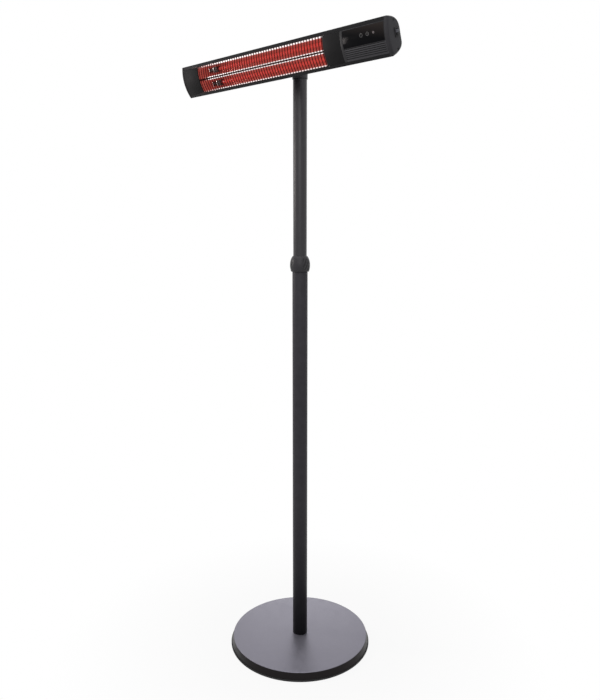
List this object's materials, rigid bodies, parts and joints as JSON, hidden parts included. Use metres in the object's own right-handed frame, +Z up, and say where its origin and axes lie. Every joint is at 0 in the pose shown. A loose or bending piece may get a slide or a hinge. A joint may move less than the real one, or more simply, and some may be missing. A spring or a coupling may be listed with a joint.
{
  "type": "infrared patio heater tower",
  "caption": "Standing electric infrared heater: a long tilting head with glowing quartz lamps on a telescopic pole with a twist-lock collar and a round weighted foot.",
  "frame": {"origin": "middle of the foot's underside, on the ground", "axes": "+Z up along the pole, -Y the way the head faces, +X towards the head's control end"},
  "size_m": [0.8996, 0.516, 2.0989],
  "materials": {
    "pole_coat": "fine powder coat",
    "foot_coat": "satin powder coat",
    "rubber": "matt",
    "zinc_steel": "zinc plated",
    "black_screw": "blackened",
    "cast_stone": "rough cast",
    "head_coat": "powder coated extrusion",
    "charcoal_plastic": "fine texture",
    "black_plastic": "fine texture",
    "gloss_panel": "polished",
    "receiver_window": "polished, smoked",
    "reflector": "polished",
    "quartz": "ruby quartz",
    "filament": "glowing",
    "ceramic": "unglazed",
    "circuit_board": "solder mask",
    "cream_plastic": "plain",
    "lead_sleeve": "silicone sleeve"
  },
  "bodies": {
    "stand": {"base_cover": "foot_coat", "base_edge_trim": "rubber", "base_plate": "zinc_steel", "ballast_disc": "cast_stone", "base_screw_1": "zinc_steel", "base_screw_2": "zinc_steel", "base_screw_3": "zinc_steel", "base_washer": "zinc_steel", "base_bolt": "zinc_steel", "lower_tube": "pole_coat", "tube_foot_plug": "zinc_steel", "collet": "black_plastic"},
    "lock_collar": {"lock_collar": "pole_coat"},
    "mast": {"upper_tube": "pole_coat", "slide_bush": "cream_plastic", "mast_cap": "pole_coat", "tilt_bolt": "zinc_steel"},
    "tilt_knob": {"tilt_knob": "black_plastic"},
    "head": {"housing": "head_coat", "end_cap_left": "charcoal_plastic", "end_cap_right": "charcoal_plastic", "end_cap_screw_left_upper": "black_screw", "end_cap_screw_left_lower": "black_screw", "end_cap_screw_right_upper": "black_screw", "end_cap_screw_right_lower": "black_screw", "front_plate_left": "head_coat", "front_plate_right": "head_coat", "control_cover": "charcoal_plastic", "touch_panel": "gloss_panel", "receiver_lens": "receiver_window", "guard_grille": "zinc_steel", "reflector_upper": "reflector", "reflector_lower": "reflector", "lamp_tube_upper": "quartz", "lamp_tube_lower": "quartz", "filament_upper": "filament", "filament_lower": "filament", "lamp_base_left_upper": "ceramic", "lamp_base_left_lower": "ceramic", "lamp_base_right_upper": "ceramic", "lamp_base_right_lower": "ceramic", "lamp_clip_left_upper": "zinc_steel", "lamp_clip_left_lower": "zinc_steel", "lamp_clip_right_upper": "zinc_steel", "lamp_clip_right_lower": "zinc_steel", "lead_upper": "lead_sleeve", "lead_lower": "lead_sleeve", "lead_link": "lead_sleeve", "heat_partition": "zinc_steel", "thermal_cutout": "black_plastic", "control_board": "circuit_board", "power_relay": "cream_plastic", "tip_switch": "black_plastic", "terminal_block": "cream_plastic", "cord_gland": "black_plastic", "switch_housing": "black_plastic", "tilt_bracket": "pole_coat", "bracket_screw_left": "zinc_steel", "bracket_screw_right": "zinc_steel"},
    "power_rocker": {"power_rocker": "black_plastic"}
  },
  "joints": [
    {"name": "lock_twist", "type": "hinge", "parent": "stand", "child": "lock_collar", "pos_m": [0, 0, 1.41], "axis": [0, 0, 1], "range_deg": [0, 90]},
    {"name": "mast_slide", "type": "slide", "parent": "stand", "child": "mast", "axis": [0, 0, 1], "range_m": [-0.55, 0]},
    {"name": "head_tilt", "type": "hinge", "parent": "mast", "child": "head", "pos_m": [0, -0.042, 2.07], "axis": [1, 0, 0], "range_deg": [-20, 25]},
    {"name": "knob_turn", "type": "hinge", "parent": "mast", "child": "tilt_knob", "pos_m": [0, -0.042, 2.07], "axis": [1, 0, 0], "range_deg": [0, 270]},
    {"name": "rocker_press", "type": "hinge", "parent": "head", "child": "power_rocker", "pos_m": [0.444, -0.093, 2.06101], "axis": [0, 0.9397, 0.342], "range_deg": [-20, 0]}
  ]
}
